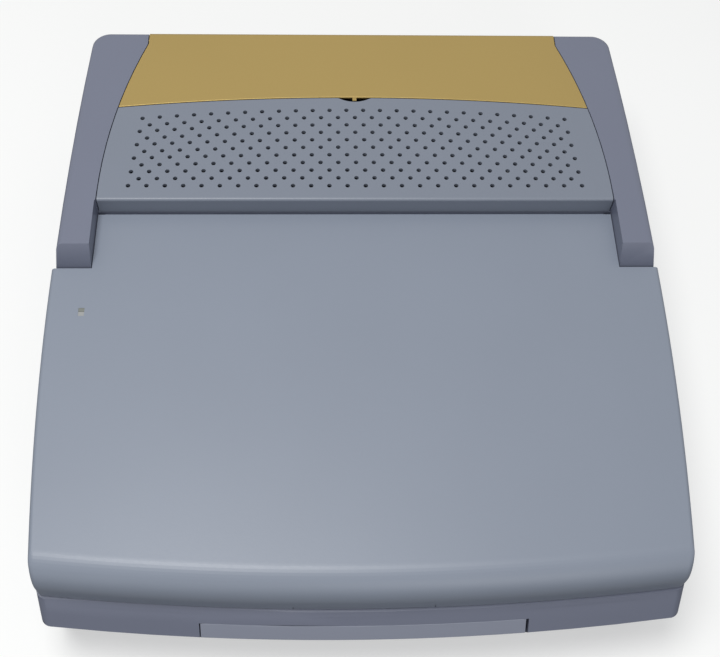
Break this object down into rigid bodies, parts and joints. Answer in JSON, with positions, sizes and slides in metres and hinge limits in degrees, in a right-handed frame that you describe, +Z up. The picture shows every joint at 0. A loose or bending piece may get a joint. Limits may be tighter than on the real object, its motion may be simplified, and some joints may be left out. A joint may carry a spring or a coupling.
{
  "type": "electronic word processor",
  "caption": "Portable word processor with a folding screen lid over the keyboard and a built-in printer under a perforated cover and a bronze paper cover",
  "frame": {"origin": "on the table under the middle of the object's box", "axes": "+X to the user's right, +Y from the handle at the front to the printer at the rear, +Z up"},
  "size_m": [0.3432, 0.368, 0.098],
  "materials": {
    "case_grey": "fine moulded grain, grey-blue",
    "cover_bronze": "satin metallic bronze",
    "handle_grey": "fine moulded grain, grey-blue",
    "inner_grey": "matt light grey",
    "key_light": "matt warm grey",
    "key_dark": "matt dark grey",
    "steel": "plain zinc-plated sheet",
    "rubber_black": "matt black rubber",
    "gear_white": "unfilled acetal",
    "glass_screen": "polarised screen, dull green-grey",
    "window_clear": "tinted clear plastic",
    "light_guide": "white acrylic",
    "lamp_white": "white lamp glass",
    "board_green": "coated circuit board",
    "motor_grey": "zinc-plated can",
    "black_plastic": "matt black"
  },
  "bodies": {
    "base": {"bottom_case": "case_grey", "top_case": "case_grey", "rubber_feet": "rubber_black", "case_screws": "steel", "hinge_brackets": "steel", "printer_chassis": "steel", "paper_guide": "black_plastic", "feed_motor": "motor_grey", "carriage_rod": "steel", "carriage_motor": "motor_grey", "carriage_belt": "rubber_black", "keyboard_plate": "steel", "main_board": "board_green", "power_board": "board_green", "floppy_drive": "motor_grey", "backup_battery": "steel", "buzzer": "black_plastic", "power_inlet": "black_plastic"},
    "handle": {"carry_handle": "handle_grey"},
    "lid": {"lid_cover": "case_grey", "lid_bezel": "inner_grey", "lid_hinges": "steel", "lid_bumpers": "rubber_black", "indicator_window": "window_clear", "lcd_panel": "glass_screen", "lcd_backlight": "light_guide", "backlight_tube": "lamp_white", "inverter_board": "board_green"},
    "latch": {"lid_latch": "case_grey"},
    "dial": {"contrast_dial": "key_dark"},
    "printer_lid": {"printer_cover": "case_grey"},
    "paper_lid": {"paper_cover": "cover_bronze"},
    "platen": {"platen_shaft": "steel", "platen_roller": "rubber_black", "platen_gear": "gear_white"},
    "pinion": {"feed_pinion": "gear_white"},
    "pinch": {"pinch_rollers": "rubber_black"},
    "carriage": {"print_carriage": "black_plastic", "thermal_head": "steel", "ribbon_cassette": "inner_grey"},
    "right_pulley": {"drive_pulley": "gear_white"},
    "left_pulley": {"end_pulley": "gear_white"},
    "lever": {"release_lever": "key_light"},
    "switch": {"power_switch": "key_dark"},
    "eject": {"eject_button": "case_grey"},
    "function_keys": {"function_keys": "key_dark"},
    "number_keys": {"number_keys": "key_light"},
    "upper_keys": {"upper_keys": "key_light"},
    "home_keys": {"home_keys": "key_light"},
    "enter_key": {"enter_key": "key_dark"},
    "lower_keys": {"lower_keys": "key_light"},
    "shift_keys": {"shift_keys": "key_dark"},
    "bottom_keys": {"bottom_keys": "key_dark"},
    "space_bar": {"space_bar": "key_light"},
    "cursor_keys": {"cursor_keys": "key_dark"}
  },
  "joints": [
    {"name": "lid_hinge", "type": "hinge", "parent": "base", "child": "lid", "pos_m": [0, 0.037, 0.081], "axis": [-1, 0, 0], "range_deg": [0, 110]},
    {"name": "handle_slide", "type": "slide", "parent": "base", "child": "handle", "axis": [0, -1, 0], "range_m": [0, 0.03]},
    {"name": "latch_push", "type": "slide", "parent": "lid", "child": "latch", "axis": [0, 1, 0], "range_m": [0, 0.0025], "stiffness_N_per_m": 400, "springref_m": -0.002},
    {"name": "contrast_turn", "type": "hinge", "parent": "lid", "child": "dial", "pos_m": [0.14, -0.06, 0.065], "axis": [0, 0, 1], "range_deg": [-135, 135]},
    {"name": "printer_cover_hinge", "type": "hinge", "parent": "base", "child": "printer_lid", "pos_m": [0, 0.11, 0.0962], "axis": [-1, 0, 0], "range_deg": [0, 75]},
    {"name": "paper_cover_hinge", "type": "hinge", "parent": "base", "child": "paper_lid", "pos_m": [0, 0.178, 0.0962], "axis": [-1, 0, 0], "range_deg": [0, 100]},
    {"name": "platen_turn", "type": "hinge", "parent": "base", "child": "platen", "pos_m": [0, 0.146, 0.064], "axis": [1, 0, 0], "continuous": true},
    {"name": "pinion_turn", "type": "hinge", "parent": "base", "child": "pinion", "pos_m": [0, 0.16438, 0.04562], "axis": [1, 0, 0], "continuous": true},
    {"name": "pinch_turn", "type": "hinge", "parent": "base", "child": "pinch", "pos_m": [0, 0.146, 0.0507], "axis": [1, 0, 0], "continuous": true},
    {"name": "carriage_slide", "type": "slide", "parent": "base", "child": "carriage", "axis": [1, 0, 0], "range_m": [-0.088, 0.088]},
    {"name": "drive_pulley_turn", "type": "hinge", "parent": "base", "child": "right_pulley", "pos_m": [0.1, 0.116, 0.036], "axis": [0, 0, 1], "continuous": true},
    {"name": "end_pulley_turn", "type": "hinge", "parent": "base", "child": "left_pulley", "pos_m": [-0.1, 0.116, 0.036], "axis": [0, 0, 1], "continuous": true},
    {"name": "release_lever_swing", "type": "hinge", "parent": "base", "child": "lever", "pos_m": [0.122, 0.086, 0.066], "axis": [-1, 0, 0], "range_deg": [0, 25]},
    {"name": "power_switch_slide", "type": "slide", "parent": "base", "child": "switch", "axis": [1, 0, 0], "range_m": [0, 0.007]},
    {"name": "eject_push", "type": "slide", "parent": "base", "child": "eject", "axis": [-1, 0, 0], "range_m": [0, 0.003], "stiffness_N_per_m": 300, "springref_m": -0.002},
    {"name": "function_keys_press", "type": "slide", "parent": "base", "child": "function_keys", "axis": [0, 0, -1], "range_m": [0, 0.003], "stiffness_N_per_m": 500, "springref_m": -0.002},
    {"name": "number_keys_press", "type": "slide", "parent": "base", "child": "number_keys", "axis": [0, 0, -1], "range_m": [0, 0.003], "stiffness_N_per_m": 500, "springref_m": -0.002},
    {"name": "upper_keys_press", "type": "slide", "parent": "base", "child": "upper_keys", "axis": [0, 0, -1], "range_m": [0, 0.003], "stiffness_N_per_m": 500, "springref_m": -0.002},
    {"name": "home_keys_press", "type": "slide", "parent": "base", "child": "home_keys", "axis": [0, 0, -1], "range_m": [0, 0.003], "stiffness_N_per_m": 500, "springref_m": -0.002},
    {"name": "enter_key_press", "type": "slide", "parent": "base", "child": "enter_key", "axis": [0, 0, -1], "range_m": [0, 0.003], "stiffness_N_per_m": 500, "springref_m": -0.002},
    {"name": "lower_keys_press", "type": "slide", "parent": "base", "child": "lower_keys", "axis": [0, 0, -1], "range_m": [0, 0.003], "stiffness_N_per_m": 500, "springref_m": -0.002},
    {"name": "shift_keys_press", "type": "slide", "parent": "base", "child": "shift_keys", "axis": [0, 0, -1], "range_m": [0, 0.003], "stiffness_N_per_m": 500, "springref_m": -0.002},
    {"name": "bottom_keys_press", "type": "slide", "parent": "base", "child": "bottom_keys", "axis": [0, 0, -1], "range_m": [0, 0.003], "stiffness_N_per_m": 500, "springref_m": -0.002},
    {"name": "space_bar_press", "type": "slide", "parent": "base", "child": "space_bar", "axis": [0, 0, -1], "range_m": [0, 0.003], "stiffness_N_per_m": 500, "springref_m": -0.002},
    {"name": "cursor_keys_press", "type": "slide", "parent": "base", "child": "cursor_keys", "axis": [0, 0, -1], "range_m": [0, 0.003], "stiffness_N_per_m": 500, "springref_m": -0.002}
  ],
  "couplings": [
    {"joint": "pinion_turn", "follows": "platen_turn", "ratio": -3.3333},
    {"joint": "pinch_turn", "follows": "platen_turn", "ratio": -2.25},
    {"joint": "drive_pulley_turn", "follows": "carriage_slide", "rad_per_m": 151.51},
    {"joint": "end_pulley_turn", "follows": "carriage_slide", "rad_per_m": 151.51}
  ]
}
